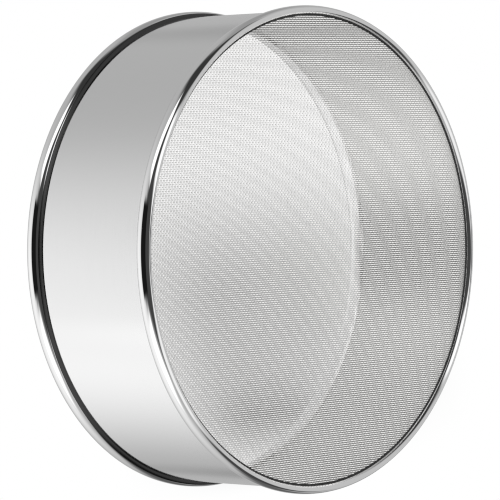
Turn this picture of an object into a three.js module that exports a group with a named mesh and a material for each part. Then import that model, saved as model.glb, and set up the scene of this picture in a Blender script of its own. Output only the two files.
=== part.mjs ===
// A round sieve: a rolled sheet-metal drum, a hoop crimped over each end, a core wire inside each
// hoop, and a disc of woven wire cloth clamped in the base. Millimetres, +Z up towards the open
// mouth, origin on the surface that the base hoop rests on, on the drum's axis.
import * as THREE from 'three';

// Driving dimensions.
const RIM_RADIUS = 100;         // outside of both hoops
const HEIGHT = 69.4;            // from the base hoop's flat to the mouth hoop's flat
const HOOP_DEPTH = 7.4;         // axial size of a hoop
const HOOP_WIDTH = 3.8;         // radial size of a hoop
const HOOP_CORNER = 1.5;        // outside radius of a hoop's bends
const HOOP_SHEET = 0.5;
const WALL_SHEET = 0.6;
const WALL_RADIUS = 97.8;       // outside of the drum wall
const CLOTH_FACE = 1.95;        // height of the cloth's lower face
const CLOTH_THICKNESS = 0.45;
const MOUTH_WIRE = 2.0;         // diameter of the core wire in the mouth hoop
const GAP = 0.3;                // between pieces that touch on the real object
const SEGMENTS = 72;            // facets around the axis
const BEND_STEPS = 3;           // chords in a quarter bend
const WIRE_SIDES = 8;

// Worked out from them.
const HOOP_INNER = RIM_RADIUS - HOOP_WIDTH;
const CAVITY_OUTER = RIM_RADIUS - HOOP_SHEET;
const WALL_INNER = WALL_RADIUS - WALL_SHEET;
const CLOTH_TOP = CLOTH_FACE + CLOTH_THICKNESS;
const CLOTH_RADIUS = CAVITY_OUTER - GAP;
const FLANGE_FACE = CLOTH_TOP + GAP;
const BASE_WIRE = CAVITY_OUTER - WALL_RADIUS - 2 * GAP;
const WALL_TOP = HEIGHT - HOOP_SHEET - MOUTH_WIRE - 2 * GAP;

const polished = new THREE.MeshStandardMaterial({ color: 0xd8d9da, roughness: 0.08, metalness: 1 });
const satin = new THREE.MeshStandardMaterial({ color: 0xcbcccd, roughness: 0.3, metalness: 1 });
const drawnWire = new THREE.MeshStandardMaterial({ color: 0xb9bbbc, roughness: 0.4, metalness: 1 });
const woven = new THREE.MeshStandardMaterial({ color: 0xb4b6b6, roughness: 0.45, metalness: 1 });

// Points on an arc in the (radius, height) plane, angles in degrees, both ends included.
function arc(centreR, centreZ, radius, from, to, steps) {
  const points = [];
  for (let i = 0; i <= steps; i += 1) {
    const angle = THREE.MathUtils.degToRad(from + ((to - from) * i) / steps);
    const r = centreR + radius * Math.cos(angle);
    points.push(new THREE.Vector2(r, centreZ + radius * Math.sin(angle)));
  }
  return points;
}

// Turns a closed section, listed anticlockwise in the (radius, height) plane, about the Z axis.
function ring(name, section, material) {
  const onAxis = section[0].x === 0;
  const profile = onAxis ? section : [...section, section[0].clone()];
  const geometry = new THREE.LatheGeometry(profile, SEGMENTS);
  geometry.rotateX(Math.PI / 2);
  const mesh = new THREE.Mesh(geometry, material);
  mesh.name = name;
  return mesh;
}

// The same section for the other end of the drum, still listed anticlockwise.
function atMouth(section) {
  return section.map((p) => new THREE.Vector2(p.x, HEIGHT - p.y)).reverse();
}

// Section of a hoop standing on its nose at height 0. The outer leg is full depth and bends in
// over the wall's outside. The inner leg runs up to innerTop.
function hoopSection(innerTop) {
  const inside = HOOP_CORNER - HOOP_SHEET;
  const outerBend = RIM_RADIUS - HOOP_CORNER;
  const innerBend = HOOP_INNER + HOOP_CORNER;
  const shoulder = HOOP_DEPTH - HOOP_CORNER;
  const lip = WALL_RADIUS + GAP;
  return [
    new THREE.Vector2(HOOP_INNER, innerTop),
    ...arc(innerBend, HOOP_CORNER, HOOP_CORNER, 180, 270, BEND_STEPS),
    ...arc(outerBend, HOOP_CORNER, HOOP_CORNER, 270, 360, BEND_STEPS),
    ...arc(outerBend, shoulder, HOOP_CORNER, 0, 90, BEND_STEPS),
    new THREE.Vector2(lip, HOOP_DEPTH),
    new THREE.Vector2(lip, HOOP_DEPTH - HOOP_SHEET),
    ...arc(outerBend, shoulder, inside, 90, 0, BEND_STEPS),
    ...arc(outerBend, HOOP_CORNER, inside, 360, 270, BEND_STEPS),
    ...arc(innerBend, HOOP_CORNER, inside, 270, 180, BEND_STEPS),
    new THREE.Vector2(HOOP_INNER + HOOP_SHEET, innerTop),
  ];
}

// The base hoop's inner leg is a short lip that the cloth lies on.
function baseRim() {
  return ring('base_rim', hoopSection(CLOTH_FACE - GAP), polished);
}

// The mouth hoop is a deep channel over the wall's upper edge.
function mouthRim() {
  return ring('mouth_rim', atMouth(hoopSection(HOOP_DEPTH - GAP)), polished);
}

// Rolled sheet, with a flange turned out at the base to press the cloth onto the hoop's lip.
function drumWall() {
  const flangeTop = FLANGE_FACE + WALL_SHEET;
  const section = [
    new THREE.Vector2(WALL_INNER, FLANGE_FACE),
    new THREE.Vector2(CLOTH_RADIUS, FLANGE_FACE),
    new THREE.Vector2(CLOTH_RADIUS, flangeTop),
    new THREE.Vector2(WALL_RADIUS, flangeTop),
    new THREE.Vector2(WALL_RADIUS, WALL_TOP),
    new THREE.Vector2(WALL_INNER, WALL_TOP),
  ];
  return ring('drum_wall', section, satin);
}

// A closed hoop of round wire.
function wireHoop(name, centreR, centreZ, diameter) {
  const section = arc(centreR, centreZ, diameter / 2, 0, 360, WIRE_SIDES).slice(0, -1);
  return ring(name, section, drawnWire);
}

// Lies in the corner between the wall's flange and the base hoop's outer leg.
function baseRimWire() {
  const centreR = (WALL_RADIUS + CAVITY_OUTER) / 2;
  const centreZ = FLANGE_FACE + WALL_SHEET + GAP + BASE_WIRE / 2;
  return wireHoop('base_rim_wire', centreR, centreZ, BASE_WIRE);
}

// Fills the mouth hoop's nose, above the wall's edge.
function mouthRimWire() {
  const centreZ = HEIGHT - HOOP_SHEET - GAP - MOUTH_WIRE / 2;
  return wireHoop('mouth_rim_wire', RIM_RADIUS - HOOP_WIDTH / 2, centreZ, MOUTH_WIRE);
}

// The cloth's envelope: a plain disc as thick as two crossing wires, trapped by its edge.
function wireCloth() {
  const section = [
    new THREE.Vector2(0, CLOTH_FACE),
    new THREE.Vector2(CLOTH_RADIUS, CLOTH_FACE),
    new THREE.Vector2(CLOTH_RADIUS, CLOTH_TOP),
    new THREE.Vector2(0, CLOTH_TOP),
  ];
  return ring('wire_cloth', section, woven);
}

const sieve = new THREE.Group();
sieve.add(drumWall(), mouthRim(), mouthRimWire(), baseRim(), baseRimWire(), wireCloth());

export default sieve;
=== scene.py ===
"""A round sieve: polished hoops, a bright rolled wall and cloth woven wire by wire, built round the
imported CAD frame. Metres, +Z from the cloth to the open mouth. The camera looks at the base from
below the floor, as the photograph does, so the floor is there only for cameras above it."""

import math

import bpy
import numpy as np
from mathutils import Matrix, Vector


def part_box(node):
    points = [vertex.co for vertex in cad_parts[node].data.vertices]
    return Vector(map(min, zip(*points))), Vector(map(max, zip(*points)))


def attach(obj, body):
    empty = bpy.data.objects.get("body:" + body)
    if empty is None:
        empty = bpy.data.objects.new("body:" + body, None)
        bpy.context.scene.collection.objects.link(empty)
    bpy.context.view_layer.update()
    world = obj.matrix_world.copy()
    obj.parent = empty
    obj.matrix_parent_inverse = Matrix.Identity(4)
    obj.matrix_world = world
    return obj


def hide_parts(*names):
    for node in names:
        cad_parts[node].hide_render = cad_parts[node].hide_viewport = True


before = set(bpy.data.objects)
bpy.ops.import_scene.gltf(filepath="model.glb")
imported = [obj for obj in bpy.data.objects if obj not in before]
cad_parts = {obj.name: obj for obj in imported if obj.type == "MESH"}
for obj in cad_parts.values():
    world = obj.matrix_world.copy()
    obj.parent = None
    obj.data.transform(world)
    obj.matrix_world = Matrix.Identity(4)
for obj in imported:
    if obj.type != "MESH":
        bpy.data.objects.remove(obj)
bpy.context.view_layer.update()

MM = 0.001

# Sizes from the frame.
RIM_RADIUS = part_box("mouth_rim")[1][0]
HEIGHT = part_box("mouth_rim")[1][2]
HOOP_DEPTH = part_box("base_rim")[1][2]
CLOTH_MIDDLE = (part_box("wire_cloth")[0][2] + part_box("wire_cloth")[1][2]) / 2
CLOTH_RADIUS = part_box("wire_cloth")[1][0]
WALL_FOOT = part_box("drum_wall")[0][2]
WALL_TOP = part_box("drum_wall")[1][2]

# The sheet that the hoops and the wall are rolled from, as in the CAD.
HOOP_WIDTH = 3.8 * MM
HOOP_SHEET = 0.5 * MM
WALL_SHEET = 0.6 * MM
WALL_RADIUS = 97.8 * MM

# The hoops' lips, as angles in degrees round the oval section: 180 is innermost, 270 the nose, 360
# outermost and 450 the top, where the outer lip turns in to the wall.
OUTER_LIP = 450
BASE_LIP = 210
MOUTH_LIP = 180
MOUTH_LEG = 3.4 * MM
LIP_CLEARANCE = 0.04 * MM
CURL_CLEARANCE = 0.05 * MM
CURL_START = 0.4 * MM
CURL_END = 0.9 * MM
OUTSIDE_STEPS = 56
INSIDE_STEPS = 40
TURN_STEPS = 512
SHARP_EDGE = math.radians(40)

# The woven cloth. The wefts run across the picture and are thick and almost straight; the warps are
# thin and wave over and under them.
PITCH = 0.86 * MM
WEFT_WIRE = 0.38 * MM
WARP_WIRE = 0.12 * MM
WEFT_CRIMP = 0.02 * MM
WARP_CRIMP = 0.22 * MM
WEAVE_TURN = math.radians(-2.8)
CLOTH_MARGIN = 0.4 * MM
WIRE_SIDES = 6
STEPS_PER_PITCH = 2
WIRES_PER_PIECE = 33

# The photograph's view. The axes are the camera's right, up and back in the drum's frame.
VIEW_FROM_AXIS = math.radians(46.87)
VIEW_ROLL = math.radians(-0.3)
CAMERA_DISTANCE = 1.45
AIM = (-3.15 * MM, -0.24 * MM)
SENSOR = 36.0
LENS = 251.136
CLIP_START = 0.01
CLIP_END = 50

RIGHT = Vector((-math.cos(VIEW_FROM_AXIS), 0, -math.sin(VIEW_FROM_AXIS)))
UP = Vector((0, 1, 0))
BACK = Vector((math.sin(VIEW_FROM_AXIS), 0, -math.cos(VIEW_FROM_AXIS)))

# The studio's panels: (side, tilt, wide, tall, edge, brightness), as panel() takes them, laid one
# over another in this order.
STUDIO = {
    "right wall": (0, 92, 100, 130, 15, 0.60),
    "left wall": (-156, 105, 54, 84, 28, 1.06),
    "camera side": (150, 25, 90, 100, 10, 0.06),
    "left gap": (180, 64, 42, 36, 2, 0.01),
    "top gap": (98, 83, 52, 50, 8, 0.04),
    "back top gap": (92, 125, 50, 20, 6, 0.34),
    "low gap": (-68, 98, 50, 40, 8, 0.06),
    "back low gap": (-84, 135, 40, 18, 6, 0.12),
    "right gap": (0, 50, 40, 14, 4, 0.02),
    "back right gap": (-20, 162, 20, 30, 5, 0.08),
    "top softbox": (62, 34, 30, 60, 6, 1.20),
    "bottom softbox": (-52, 45, 40, 62, 8, 1.00),
    "upper left softbox": (134, 74, 22, 34, 3, 1.40),
    "lower left softbox": (-135, 78, 32, 34, 6, 1.35),
}
SURROUND = 0.48

# The strip light that only the cloth gets: its tilt to the right, distance, size and brightness.
CLOTH_LIGHT_TILT = math.radians(112)
CLOTH_LIGHT_DISTANCE = 1.0
CLOTH_LIGHT_WIDE = 0.8
CLOTH_LIGHT_TALL = 1.6
CLOTH_LIGHT = 0.85

# Painted shade on the white backdrop behind the cloth, seen through the weave, in the same terms as
# the panels: a broad patch and a darker one at its foot.
BACKDROP_SHADE = (-75, 178.95, 3.2, 3.6, 1.3, 0.38)
BACKDROP_FOOT_SHADE = (-82, 177.3, 1.0, 2.0, 0.8, 0.15)

WORLD_MAP = 256
PIXEL_FILTER = 1.2

# The fine grain of every steel: its detail, the bump's strength, and the part of the noise's range
# that moves the roughness.
GRAIN_DETAIL = 2.0
GRAIN_STRENGTH = 0.5
GRAIN_LOW = 0.3
GRAIN_HIGH = 0.7

# The pale floor, a disc of rings.
FLOOR_RINGS = [0.0001, 0.2, 0.5, 1.0, 2.0, 4.0]
FLOOR_SIDES = 96
FLOOR_COLOUR = (0.86, 0.86, 0.86, 1)
FLOOR_ROUGHNESS = 0.6
FLOOR_GLOW = 0.3


def add_camera():
    spin = Matrix.Rotation(-VIEW_ROLL, 3, BACK)
    right, up = spin @ RIGHT, spin @ UP
    middle = Vector((0, 0, HEIGHT / 2))
    place = middle + right * AIM[0] + up * AIM[1] + BACK * CAMERA_DISTANCE
    data = bpy.data.cameras.new("camera")
    data.sensor_width = SENSOR
    data.lens = LENS
    data.clip_start = CLIP_START
    data.clip_end = CLIP_END
    camera = bpy.data.objects.new("camera", data)
    turn = Matrix((right, up, BACK)).transposed().to_4x4()
    camera.matrix_world = Matrix.Translation(place) @ turn
    bpy.context.collection.objects.link(camera)
    bpy.context.scene.camera = camera


def new_object(name, points, faces, material, sharp=None):
    """A smooth-shaded mesh object from arrays of points and quads."""
    mesh = bpy.data.meshes.new(name)
    points = np.asarray(points, dtype=np.float32)
    faces = np.asarray(faces, dtype=np.int32)
    sides = faces.shape[1]
    mesh.vertices.add(len(points))
    mesh.vertices.foreach_set("co", points.ravel())
    mesh.loops.add(faces.size)
    mesh.loops.foreach_set("vertex_index", faces.ravel())
    mesh.polygons.add(len(faces))
    mesh.polygons.foreach_set("loop_start", np.arange(0, faces.size, sides, dtype=np.int32))
    mesh.polygons.foreach_set("use_smooth", np.ones(len(faces), dtype=bool))
    mesh.update(calc_edges=True)
    mesh.validate()
    if sharp is not None:
        mesh.set_sharp_from_angle(angle=sharp)
    mesh.materials.append(material)
    piece = bpy.data.objects.new(name, mesh)
    bpy.context.collection.objects.link(piece)
    return piece


def bead(inset, start, end, steps):
    """Points round a hoop's oval section, inset from its outside, between two angles in degrees."""
    angles = np.radians(np.linspace(start, end, steps + 1))
    across, deep = HOOP_WIDTH / 2 - inset, HOOP_DEPTH / 2 - inset
    middle = RIM_RADIUS - HOOP_WIDTH / 2
    return [(middle + across * math.cos(a), HOOP_DEPTH / 2 + deep * math.sin(a)) for a in angles]


def turned(name, section, material):
    """Turns a closed section, listed anticlockwise in the (radius, height) plane, about Z."""
    section = np.array(section)
    count = len(section)
    turn = np.linspace(0, 2 * math.pi, TURN_STEPS, endpoint=False)
    points = np.empty((TURN_STEPS, count, 3))
    points[:, :, 0] = np.cos(turn)[:, None] * section[:, 0]
    points[:, :, 1] = np.sin(turn)[:, None] * section[:, 0]
    points[:, :, 2] = section[:, 1]
    i, j = np.meshgrid(np.arange(TURN_STEPS), np.arange(count), indexing="ij")
    here, there = i * count, (i + 1) % TURN_STEPS * count
    along = (j + 1) % count
    faces = np.stack([here + j, there + j, there + along, here + along], axis=-1).reshape(-1, 4)
    return new_object(name, points.reshape(-1, 3), faces, material, sharp=SHARP_EDGE)


def hoop_section(lip_angle, leg):
    """A hoop standing on its nose: sheet rolled to an oval that closes on the wall outside. Inside
    it ends at lip_angle, or runs straight up from there by leg and curls out to the wall."""
    seat = WALL_RADIUS + LIP_CLEARANCE
    section = [
        *bead(0, lip_angle, OUTER_LIP, OUTSIDE_STEPS),
        (seat, HOOP_DEPTH),
        (seat, HOOP_DEPTH - HOOP_SHEET),
        *bead(HOOP_SHEET, OUTER_LIP, lip_angle, INSIDE_STEPS),
    ]
    if leg:
        inner, outer = section[0][0], section[-1][0]
        top = section[0][1] + leg
        wall = WALL_RADIUS - WALL_SHEET - CURL_CLEARANCE
        curl = [(wall, top + CURL_START), (wall, top + CURL_END)]
        section = [(inner, top), *section, (outer, top), *curl]
    return section


def at_mouth(section):
    """The same section upside down at the mouth, still anticlockwise."""
    return [(r, HEIGHT - z) for r, z in reversed(section)]


def add_node(tree, kind, *inputs, **settings):
    """Adds a node. Each input is a number, a vector or another node's output."""
    node = tree.nodes.new(kind)
    for key, value in settings.items():
        setattr(node, key, value)
    for socket, value in zip(node.inputs, inputs):
        if isinstance(value, bpy.types.NodeSocket):
            tree.links.new(value, socket)
        elif value is not None:
            socket.default_value = value
    return node.outputs[0]


def nodes_of(name):
    """A new material, its nodes and links, and its Principled shader."""
    material = bpy.data.materials.new(name)
    material.use_nodes = True
    nodes = material.node_tree.nodes
    return material, nodes, material.node_tree.links, nodes["Principled BSDF"]


def steel(name, colour, roughness, grain, depth, vary=0.0):
    """Steel with a fine grain. grain is its marks per metre along x, y and z, depth how deep the
    bump reads, and vary how far the roughness moves either way with it."""
    material, nodes, links, shader = nodes_of(name)
    tree = material.node_tree
    shader.inputs["Base Color"].default_value = (*colour, 1)
    shader.inputs["Metallic"].default_value = 1
    shader.inputs["Roughness"].default_value = roughness
    place = nodes.new("ShaderNodeTexCoord").outputs["Object"]
    spread = add_node(tree, "ShaderNodeMapping", place, None, None, grain)
    marks = nodes.new("ShaderNodeTexNoise")
    marks.inputs["Scale"].default_value = 1.0
    marks.inputs["Detail"].default_value = GRAIN_DETAIL
    links.new(spread, marks.inputs["Vector"])
    bump = nodes.new("ShaderNodeBump")
    bump.inputs["Strength"].default_value = GRAIN_STRENGTH
    bump.inputs["Distance"].default_value = depth
    links.new(marks.outputs[0], bump.inputs["Height"])
    links.new(bump.outputs[0], shader.inputs["Normal"])
    if vary:
        swing = nodes.new("ShaderNodeMapRange")
        swing.inputs["From Min"].default_value = GRAIN_LOW
        swing.inputs["From Max"].default_value = GRAIN_HIGH
        swing.inputs["To Min"].default_value = roughness - vary
        swing.inputs["To Max"].default_value = roughness + vary
        links.new(marks.outputs[0], swing.inputs["Value"])
        links.new(swing.outputs[0], shader.inputs["Roughness"])
    return material


def build_rims(material):
    base = turned("base_hoop", hoop_section(BASE_LIP, 0), material)
    mouth = turned("mouth_hoop", at_mouth(hoop_section(MOUTH_LIP, MOUTH_LEG)), material)
    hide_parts("base_rim")
    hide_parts("mouth_rim")
    for piece in (base, mouth):
        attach(piece, "root")


def build_wall(material, dull_and_shaded):
    """The rolled strip with its foot flange under the cloth's edge. Its inner face is rougher and
    coloured darker: painted shade inside the drum.
    """
    inner = WALL_RADIUS - WALL_SHEET
    foot = WALL_FOOT
    section = [
        (inner, foot),
        (CLOTH_RADIUS, foot),
        (CLOTH_RADIUS, foot + WALL_SHEET),
        (WALL_RADIUS, foot + WALL_SHEET),
        (WALL_RADIUS, WALL_TOP),
        (inner, WALL_TOP),
    ]
    wall = turned("rolled_wall", section, material)
    wall.data.materials.append(dull_and_shaded)
    for face in wall.data.polygons:
        upright = abs(face.normal.z) < 0.1
        if upright and face.normal.dot(face.center) < 0:
            face.material_index = 1
    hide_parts("drum_wall")
    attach(wall, "root")


def wire_run(offset, half, across, wire, rise_by, phase):
    """Rings of points round one waved wire, along x at y = offset, or, when across is true, along y
    at x = offset. half is its half length, and it waves by rise_by either way."""
    step = PITCH / STEPS_PER_PITCH
    count = max(int(half / step), 2)
    s = np.arange(-count, count + 1) * step
    lift = rise_by * np.cos(math.pi * s / PITCH + phase)
    slope = -rise_by * math.pi / PITCH * np.sin(math.pi * s / PITCH + phase)
    angles = np.linspace(0, 2 * math.pi, WIRE_SIDES, endpoint=False)
    side = np.cos(angles) * wire / 2
    rise = np.sin(angles) * wire / 2
    tilt = 1 / np.sqrt(1 + slope**2)
    along = s[:, None] - rise[None, :] * (slope * tilt)[:, None]
    height = CLOTH_MIDDLE + lift[:, None] + rise[None, :] * tilt[:, None]
    beside = np.broadcast_to(offset + side[None, :], along.shape)
    xyz = (beside, along, height) if across else (along, beside, height)
    return np.stack(xyz, axis=-1)


def wires_mesh(name, runs, flip, material):
    """Joins wire runs into one object, each run a closed tube."""
    points, faces, start = [], [], 0
    for run in runs:
        rings, sides, _ = run.shape
        i, j = np.meshgrid(np.arange(rings - 1), np.arange(sides), indexing="ij")
        k = (j + 1) % sides
        here, there = i * sides, (i + 1) * sides
        quads = np.stack([here + j, here + k, there + k, there + j], axis=-1)
        quads = quads.reshape(-1, 4)
        # Each end is two quads, so a wire has six sides.
        ends = np.array([[3, 2, 1, 0], [5, 4, 3, 0]])
        quads = np.concatenate([quads, ends, (rings - 1) * sides + ends[:, ::-1]])
        if flip:
            quads = quads[:, ::-1]
        points.append(run.reshape(-1, 3))
        faces.append(quads + start)
        start += rings * sides
    points = np.concatenate(points)
    cos, sin = math.cos(WEAVE_TURN), math.sin(WEAVE_TURN)
    turn = np.array([[cos, -sin], [sin, cos]])
    points[:, :2] = points[:, :2] @ turn.T
    return new_object(name, points, np.concatenate(faces), material)


def crimp_section():
    """Painted shade: a near-black ring at the dark line where the base hoop's lip presses the cloth
    against the wall's foot.
    """
    low, high = CLOTH_MIDDLE - 0.5 * MM, CLOTH_MIDDLE - 0.1 * MM
    return [
        (95.7 * MM, high),
        (96.0 * MM, low + 0.1 * MM),
        (96.4 * MM, low),
        (97.0 * MM, low),
        (97.0 * MM, high),
    ]


def undercut_section():
    """Painted shade: a near-black ring at the dark line under the mouth hoop's lip, where the sheet
    turns in to the wall.
    """
    lip = HEIGHT - HOOP_DEPTH
    return [
        (WALL_RADIUS, lip + 0.4 * MM),
        (WALL_RADIUS, lip - 0.5 * MM),
        (WALL_RADIUS + 0.8 * MM, lip - 0.3 * MM),
        (WALL_RADIUS + 1.4 * MM, lip + 0.4 * MM),
    ]


def build_seam(name, section, material):
    seam = turned(name, section, material)
    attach(seam, "root")


def build_cloth(material):
    """The plain weave: neighbouring wires are half a wave apart, so each warp passes over one weft
    and under the next. Returns its pieces, each a bundle of wires."""
    radius = CLOTH_RADIUS - CLOTH_MARGIN
    reach = int(radius / PITCH)
    pieces = []
    kinds = (("weft", False, WEFT_WIRE, WEFT_CRIMP), ("warp", True, WARP_WIRE, WARP_CRIMP))
    for word, across, wire, rise_by in kinds:
        runs = []
        for n in range(-reach, reach + 1):
            offset = n * PITCH
            half = math.sqrt(radius**2 - offset**2)
            phase = math.pi * (n + (1 if across else 0))
            runs.append(wire_run(offset, half, across, wire, rise_by, phase))
        for piece_number, begin in enumerate(range(0, len(runs), WIRES_PER_PIECE)):
            some = runs[begin:begin + WIRES_PER_PIECE]
            piece = wires_mesh(f"cloth_{word}_{piece_number + 1}", some, across, material)
            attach(piece, "root")
            pieces.append(piece)
    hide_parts("wire_cloth")
    return pieces


def maths(tree, operation, *inputs):
    return add_node(tree, "ShaderNodeMath", *inputs, operation=operation)


def dot(tree, direction, axis):
    """How far a direction points along a fixed axis."""
    node = tree.nodes.new("ShaderNodeVectorMath")
    node.operation = "DOT_PRODUCT"
    tree.links.new(direction, node.inputs[0])
    node.inputs[1].default_value = axis
    return node.outputs["Value"]


def soft_step(tree, value, middle, edge):
    """1 where value is under middle, 0 above it, with a smooth edge that wide on each side."""
    node = tree.nodes.new("ShaderNodeMapRange")
    node.interpolation_type = "SMOOTHSTEP"
    tree.links.new(value, node.inputs["Value"])
    node.inputs["From Min"].default_value = middle - edge
    node.inputs["From Max"].default_value = middle + edge
    node.inputs["To Min"].default_value = 1
    node.inputs["To Max"].default_value = 0
    return node.outputs["Result"]


def panel(tree, direction, light, side, tilt, wide, tall, edge, value):
    """Lays a soft-edged panel of one brightness over light. It is centred tilt degrees off the line
    to the camera, towards side degrees (0 right, 90 up), and is wide along that way, tall across."""
    side, tilt = math.radians(side), math.radians(tilt)
    outward = RIGHT * math.cos(side) + UP * math.sin(side)
    across = UP * math.cos(side) - RIGHT * math.sin(side)
    centre = BACK * math.cos(tilt) + outward * math.sin(tilt)
    along = outward * math.cos(tilt) - BACK * math.sin(tilt)
    ahead = dot(tree, direction, centre)
    u = maths(tree, "ABSOLUTE", maths(tree, "ARCTAN2", dot(tree, direction, along), ahead))
    v = maths(tree, "ABSOLUTE", maths(tree, "ARCSINE", dot(tree, direction, across)))
    edge = math.radians(edge)
    inside_u = soft_step(tree, u, math.radians(wide) / 2, edge)
    inside_v = soft_step(tree, v, math.radians(tall) / 2, edge)
    cover = maths(tree, "MULTIPLY", inside_u, inside_v)
    gain = maths(tree, "SUBTRACT", value, light)
    return maths(tree, "MULTIPLY_ADD", gain, cover, light)


def build_world():
    """The studio that the steel reflects, and the white backdrop that the camera sees, with painted
    shade behind the cloth.
    """
    world = bpy.data.worlds.new("studio")
    bpy.context.scene.world = world
    world.use_nodes = True
    world.cycles.sampling_method = "MANUAL"
    world.cycles.sample_map_resolution = WORLD_MAP
    tree = world.node_tree
    direction = tree.nodes.new("ShaderNodeTexCoord").outputs["Generated"]
    light = maths(tree, "ADD", SURROUND, 0.0)
    for place in STUDIO.values():
        light = panel(tree, direction, light, *place)
    seen = tree.nodes.new("ShaderNodeLightPath").outputs["Is Camera Ray"]
    through = tree.nodes.new("ShaderNodeMix")
    through.data_type = "FLOAT"
    white = maths(tree, "ADD", 1.0, 0.0)
    tree.links.new(seen, through.inputs[0])
    tree.links.new(light, through.inputs[2])
    shaded = panel(tree, direction, white, *BACKDROP_SHADE)
    tree.links.new(panel(tree, direction, shaded, *BACKDROP_FOOT_SHADE), through.inputs[3])
    background = tree.nodes["Background"]
    background.inputs["Color"].default_value = (1, 1, 1, 1)
    tree.links.new(through.outputs[0], background.inputs["Strength"])
    bpy.context.scene.view_settings.view_transform = "Standard"
    bpy.context.scene.cycles.filter_width = PIXEL_FILTER


def build_cloth_light(pieces):
    """A long strip light from the right, flagged off everything but the cloth."""
    towards = BACK * math.cos(CLOTH_LIGHT_TILT) + RIGHT * math.sin(CLOTH_LIGHT_TILT)
    data = bpy.data.lights.new("cloth_light", "AREA")
    data.shape = "RECTANGLE"
    data.size = CLOTH_LIGHT_WIDE
    data.size_y = CLOTH_LIGHT_TALL
    data.energy = CLOTH_LIGHT * math.pi * data.size * data.size_y
    light = bpy.data.objects.new("cloth_light", data)
    across = UP.cross(towards).normalized()
    turn = Matrix((across, UP, towards)).transposed().to_4x4()
    light.matrix_world = Matrix.Translation(towards * CLOTH_LIGHT_DISTANCE) @ turn
    bpy.context.collection.objects.link(light)
    only = bpy.data.collections.new("cloth_only")
    for piece in pieces:
        only.objects.link(piece)
    light.light_linking.receiver_collection = only


def build_floor():
    """A pale floor under the hoop, drawn only for a camera above it."""
    material, nodes, links, shader = nodes_of("pale_floor")
    shader.inputs["Base Color"].default_value = FLOOR_COLOUR
    shader.inputs["Roughness"].default_value = FLOOR_ROUGHNESS
    shader.inputs["Emission Color"].default_value = (1, 1, 1, 1)
    shader.inputs["Emission Strength"].default_value = FLOOR_GLOW
    clear = nodes.new("ShaderNodeBsdfTransparent")
    under = nodes.new("ShaderNodeMixShader")
    links.new(nodes.new("ShaderNodeNewGeometry").outputs["Backfacing"], under.inputs[0])
    links.new(shader.outputs[0], under.inputs[1])
    links.new(clear.outputs[0], under.inputs[2])
    links.new(under.outputs[0], nodes["Material Output"].inputs["Surface"])
    turn = np.linspace(0, 2 * math.pi, FLOOR_SIDES, endpoint=False)
    points = [(r * math.cos(a), r * math.sin(a), 0) for r in FLOOR_RINGS for a in turn]
    i, j = np.meshgrid(np.arange(len(FLOOR_RINGS) - 1), np.arange(FLOOR_SIDES), indexing="ij")
    k = (j + 1) % FLOOR_SIDES
    here, there = i * FLOOR_SIDES, (i + 1) * FLOOR_SIDES
    faces = np.stack([here + j, there + j, there + k, here + k], axis=-1)
    floor = new_object("floor", points, faces.reshape(-1, 4), material)
    floor.visible_diffuse = False
    floor.visible_glossy = False
    floor.visible_transmission = False
    floor.visible_shadow = False


def finish_core_wires(material):
    """The hoops' core wires are the CAD's own, with a steel of their own."""
    for name in ("base_rim_wire", "mouth_rim_wire"):
        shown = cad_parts[name].data
        shown.materials.clear()
        shown.materials.append(material)


add_camera()
# Name, colour, roughness, grain, how deep the grain reads and how far it moves the roughness.
polished = steel("polished_steel", (0.86, 0.86, 0.86), 0.025, (900, 900, 900), 0.4e-6, 0.012)
bright = steel("bright_sheet", (0.86, 0.86, 0.86), 0.10, (40, 40, 5000), 1.5e-6, 0.03)
# The wall's inner face: a rougher steel whose darker colour is painted shade inside the drum.
dull_and_shaded = steel("dull_and_shaded_sheet", (0.50, 0.50, 0.49), 0.32, (40, 40, 3000), 3e-6, 0.06)
wire = steel("steel_wire", (0.825, 0.82, 0.81), 0.12, (6000, 6000, 6000), 2e-6)
core = steel("core_steel", (0.70, 0.70, 0.71), 0.20, (3000, 3000, 3000), 3e-6, 0.05)
# Near-black steel for the painted shade line under the mouth hoop's lip.
undercut_shade = steel("undercut_shade_steel", (0.06, 0.06, 0.06), 0.25, (2000, 2000, 2000), 3e-6, 0.05)
# Near-black steel for the painted shade line at the crimp.
crimp_shade_steel = steel("crimp_shadow", (0.06, 0.06, 0.06), 0.5, (2000, 2000, 2000), 1e-5, 0.1)
build_rims(polished)
build_wall(bright, dull_and_shaded)
cloth = build_cloth(wire)
# A near-black ring of painted shade at the crimp.
build_seam("crimp_shade_line", crimp_section(), crimp_shade_steel)
# A near-black ring of painted shade under the mouth hoop's lip.
build_seam("undercut_shade_line", undercut_section(), undercut_shade)
finish_core_wires(core)
build_world()
build_cloth_light(cloth)
build_floor()
